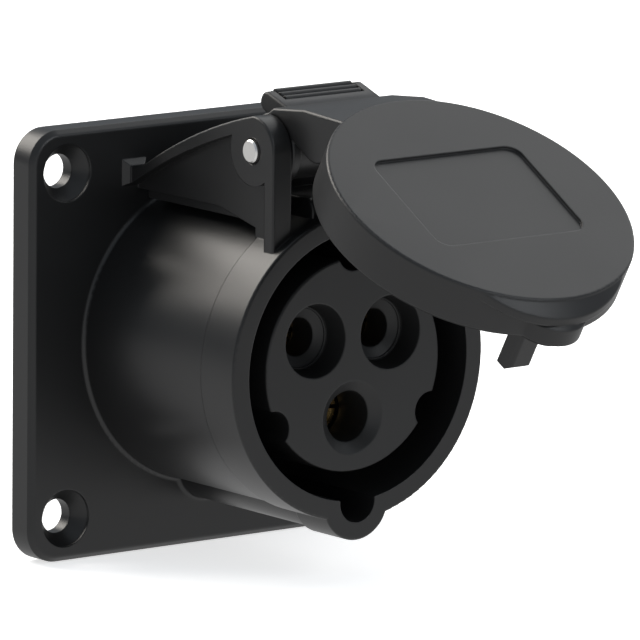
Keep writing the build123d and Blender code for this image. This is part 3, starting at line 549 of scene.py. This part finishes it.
def makeThumbGrip(sizes):
    faceLow, faceHigh = Vector((0.0, *sizes["faceLow"])), Vector((0.0, *sizes["faceHigh"]))
    along = (faceHigh - faceLow).normalized()  # up the tab's face, in the lid's own directions
    outward = Vector((0.0, -along.z, along.y))
    firstRib = faceLow + along * sizes["ribFirst"] - outward * sizes["ribSink"]
    padMiddle = faceLow + along * (sizes["padLow"] + sizes["padLength"] / 2)
    padMiddle -= outward * (sizes["padSink"] + sizes["padDepth"] / 2)
    grip = growPiece("thumb_grip_ribs", makeGripTree(), {
        "Rib Count": sizes["ribCount"], "Rib Pitch": along * sizes["ribPitch"] * mm,
        "First Rib": firstRib * mm, "Rib Radius": sizes["ribRadius"] * mm,
        "Rib Length": 2 * sizes["ribHalfWidth"] * mm, "Rib Sides": sizes["ribSides"],
        "Pad Size": Vector((2 * sizes["padHalfWidth"], sizes["padLength"], sizes["padDepth"])) * mm,
        "Pad Middle": padMiddle * mm, "Face Turn": Euler((atan2(along.z, along.y), 0.0, 0.0)),
        "Hinge": hingePoint, "Lid Turn": Euler((radians(90.0 - lidOpen), 0.0, 0.0)),
        "Material": slotMaterials["lid_plastic"],
    }, sizes["creaseAngle"])
    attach(grip, "cover")


makeThumbGrip(thumbGrip)
print("stage: thumb grip ribbed")


# Guide beads: a thin raised ring round the floor of each live mouth

guideBeads = {
    "mouthCount": 2, "mouthOffset": 8.0, "mouthRise": 4.75,  # the mouths' middles, from the barrel's axis
    "floorReach": 42.3, "beadSink": 0.08,  # the mouths' floor, from the panel, and the beads' seat in it
    "ringRadius": 5.30, "beadRadius": 0.26, "ringPoints": 96, "beadSides": 12, "creaseAngle": 50.0,
}


def makeBeadTree():
    tree, source, sink = newGroup("mouthBeads", "GeometryNodeTree", [
        ("Mouth Count", "NodeSocketInt", 2), ("Mouth Spacing", "NodeSocketVector", (0.016, 0.0, 0.0)),
        ("First Mouth", "NodeSocketVector", (0.0, 0.0, 0.0)), ("Ring Radius", "NodeSocketFloat", 0.005),
        ("Bead Radius", "NodeSocketFloat", 0.0002), ("Ring Points", "NodeSocketInt", 96),
        ("Bead Sides", "NodeSocketInt", 12), ("Material", "NodeSocketMaterial", None)],
        [("Geometry", "NodeSocketGeometry")])
    link = tree.links.new
    mouths = addNode(tree, "GeometryNodeMeshLine", mode="OFFSET")
    link(source.outputs["Mouth Count"], mouths.inputs["Count"])
    link(source.outputs["First Mouth"], mouths.inputs["Start Location"])
    link(source.outputs["Mouth Spacing"], mouths.inputs["Offset"])
    ring = addNode(tree, "GeometryNodeCurvePrimitiveCircle")
    section = addNode(tree, "GeometryNodeCurvePrimitiveCircle")
    bead = addNode(tree, "GeometryNodeCurveToMesh")
    link(source.outputs["Ring Points"], ring.inputs["Resolution"])
    link(source.outputs["Ring Radius"], ring.inputs["Radius"])
    link(source.outputs["Bead Sides"], section.inputs["Resolution"])
    link(source.outputs["Bead Radius"], section.inputs["Radius"])
    link(ring.outputs["Curve"], bead.inputs["Curve"])
    link(section.outputs["Curve"], bead.inputs["Profile Curve"])
    facing = addNode(tree, "GeometryNodeTransform", {"Rotation": (pi / 2, 0.0, 0.0)})  # out along Y
    smooth = addNode(tree, "GeometryNodeSetShadeSmooth", {"Shade Smooth": True})
    beads = addNode(tree, "GeometryNodeInstanceOnPoints")
    link(bead.outputs["Mesh"], facing.inputs["Geometry"])
    link(facing.outputs["Geometry"], smooth.inputs["Geometry"])
    link(mouths.outputs["Mesh"], beads.inputs["Points"])
    link(smooth.outputs["Geometry"], beads.inputs["Instance"])
    endTree(tree, source, sink, beads.outputs["Instances"])
    return tree


def makeGuideBeads(sizes):
    offset = sizes["mouthOffset"]
    firstMouth = Vector((-offset, sizes["beadSink"] - sizes["floorReach"], sizes["mouthRise"])) * mm
    beads = growPiece("mouth_guide_beads", makeBeadTree(), {
        "Mouth Count": sizes["mouthCount"], "Mouth Spacing": Vector((2 * offset, 0.0, 0.0)) * mm,
        "First Mouth": firstMouth, "Ring Radius": sizes["ringRadius"] * mm,
        "Bead Radius": sizes["beadRadius"] * mm, "Ring Points": sizes["ringPoints"],
        "Bead Sides": sizes["beadSides"], "Material": slotMaterials["insulator_plastic"],
    }, sizes["creaseAngle"])
    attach(beads, "socket")


makeGuideBeads(guideBeads)
print("stage: mouths beaded")


# Floor

paleFloor = {
    "drop": 0.2, "size": 3000.0,
    "colour": (0.93, 0.93, 0.93), "roughness": 0.9, "specular": 0.2, "ior": 1.4,
    "glow": 0.66, "bounce": 0.72,  # its own light, as the camera sees it and as the part does
}


def makeFloor(look):
    low = cadBox[0][2] - look["drop"] * mm
    half = look["size"] * mm / 2
    mesh = bpy.data.meshes.new("floor")
    corners = [(-half, -half, low), (half, -half, low), (half, half, low), (-half, half, low)]
    mesh.from_pydata(corners, [], [(0, 1, 2, 3)])
    floor = bpy.data.objects.new("floor", mesh)
    scene.collection.objects.link(floor)
    material, tree, shader = startMaterial("paleFloor", look)
    shader.inputs["Base Color"].default_value = (*look["colour"], 1.0)
    shader.inputs["Roughness"].default_value = look["roughness"]
    link = tree.links.new
    glow = addNode(tree, "ShaderNodeEmission", {"Strength": look["glow"]})
    bounce = addNode(tree, "ShaderNodeEmission", {"Strength": look["bounce"]})
    seen = addNode(tree, "ShaderNodeAddShader")
    path = addNode(tree, "ShaderNodeLightPath")
    mix = addNode(tree, "ShaderNodeMixShader")
    link(shader.outputs["BSDF"], seen.inputs[0])
    link(glow.outputs["Emission"], seen.inputs[1])
    link(path.outputs["Is Camera Ray"], mix.inputs["Fac"])
    link(bounce.outputs["Emission"], mix.inputs[1])
    link(seen.outputs["Shader"], mix.inputs[2])
    link(mix.outputs["Shader"], tree.nodes["Material Output"].inputs["Surface"])
    mesh.materials.append(material)


makeFloor(paleFloor)


# Softboxes: each looks at the part's middle, with its distance and sides in metres

softboxes = {
    "overheadBox": {"towards": (0.76, 0.24, 0.62), "distance": 0.55, "sides": (0.50, 0.50), "power": 0.86,
                    "colour": (1.0, 0.98, 0.95)},
    "backLeftBox": {"towards": (-0.27, 0.76, 0.68), "distance": 0.9, "sides": (0.64, 0.64), "power": 6.9,
                    "colour": (1.0, 0.95, 0.88)},
    "frontRightBox": {"towards": (0.22, -0.86, 0.47), "distance": 0.9, "sides": (0.5, 0.3), "power": 1.55,
                      "colour": (0.95, 0.975, 1.0)},
    "cameraSideBox": {"towards": (-0.58, -0.79, 0.06), "distance": 1.2, "sides": (0.8, 0.6), "power": 0.6,
                      "colour": (0.97, 0.985, 1.0)},
}


def addSoftbox(name, towards, distance, sides, power, colour):
    data = bpy.data.lights.new(name, "AREA")
    data.shape = "RECTANGLE"
    data.size, data.size_y = sides
    data.energy = power
    data.color = colour
    light = bpy.data.objects.new(name, data)
    middle = (Vector(cadBox[0]) + Vector(cadBox[1])) / 2
    direction = Vector(towards).normalized()
    light.location = middle + direction * distance
    light.rotation_euler = (-direction).to_track_quat("-Z", "Y").to_euler()
    scene.collection.objects.link(light)


for boxName, box in softboxes.items():
    addSoftbox(boxName, **box)


# The room's own light, which is darker at the horizon than overhead, and white to the camera

room = {
    "colour": (0.84, 0.915, 1.0), "horizonStrength": 0.20, "zenithStrength": 0.46,
    "horizonHeight": -0.05, "zenithHeight": 0.75, "cameraColour": (1.0, 1.0, 1.0), "cameraStrength": 1.0,
}


def makeRoom(look):
    world = bpy.data.worlds.new("studio")
    scene.world = world
    world.use_nodes = True
    tree = world.node_tree
    link = tree.links.new
    lit = tree.nodes["Background"]
    lit.inputs["Color"].default_value = (*look["colour"], 1.0)
    seen = addNode(tree, "ShaderNodeBackground", {
        "Color": (*look["cameraColour"], 1.0), "Strength": look["cameraStrength"]})
    coords = addNode(tree, "ShaderNodeTexCoord")
    split = addNode(tree, "ShaderNodeSeparateXYZ")
    strength = addNode(tree, "ShaderNodeMapRange", {
        "From Min": look["horizonHeight"], "From Max": look["zenithHeight"],
        "To Min": look["horizonStrength"], "To Max": look["zenithStrength"]})
    path = addNode(tree, "ShaderNodeLightPath")
    mix = addNode(tree, "ShaderNodeMixShader")
    link(coords.outputs["Generated"], split.inputs["Vector"])
    link(split.outputs["Z"], strength.inputs["Value"])
    link(strength.outputs["Result"], lit.inputs["Strength"])
    link(path.outputs["Is Camera Ray"], mix.inputs["Fac"])
    link(lit.outputs["Background"], mix.inputs[1])
    link(seen.outputs["Background"], mix.inputs[2])
    link(mix.outputs["Shader"], tree.nodes["World Output"].inputs["Surface"])


makeRoom(room)


# Camera, where the photograph was taken from

cameraView = {
    "azimuth": -37.601, "elevation": 10.151, "roll": 0.537, "distance": 1780.84,
    "aim": (6.440, -28.948, 4.355), "lens": 585.08, "sensor": 36.0, "clip": (100.0, 20000.0),
}


def makeCamera(view):
    azimuth, elevation = radians(view["azimuth"]), radians(view["elevation"])
    back = Vector((sin(azimuth) * cos(elevation), -cos(azimuth) * cos(elevation), sin(elevation)))
    data = bpy.data.cameras.new("photoCamera")
    data.sensor_width, data.lens = view["sensor"], view["lens"]
    data.clip_start, data.clip_end = view["clip"][0] * mm, view["clip"][1] * mm
    camera = bpy.data.objects.new("photoCamera", data)
    level = (-back).to_track_quat("-Z", "Y").to_matrix()
    turn = level @ Matrix.Rotation(radians(view["roll"]), 3, "Z")
    place = Vector(view["aim"]) * mm + back * view["distance"] * mm
    camera.matrix_world = Matrix.Translation(place) @ turn.to_4x4()
    scene.collection.objects.link(camera)
    scene.camera = camera


makeCamera(cameraView)
scene.view_settings.view_transform = "Standard"
print("stage: studio ready")
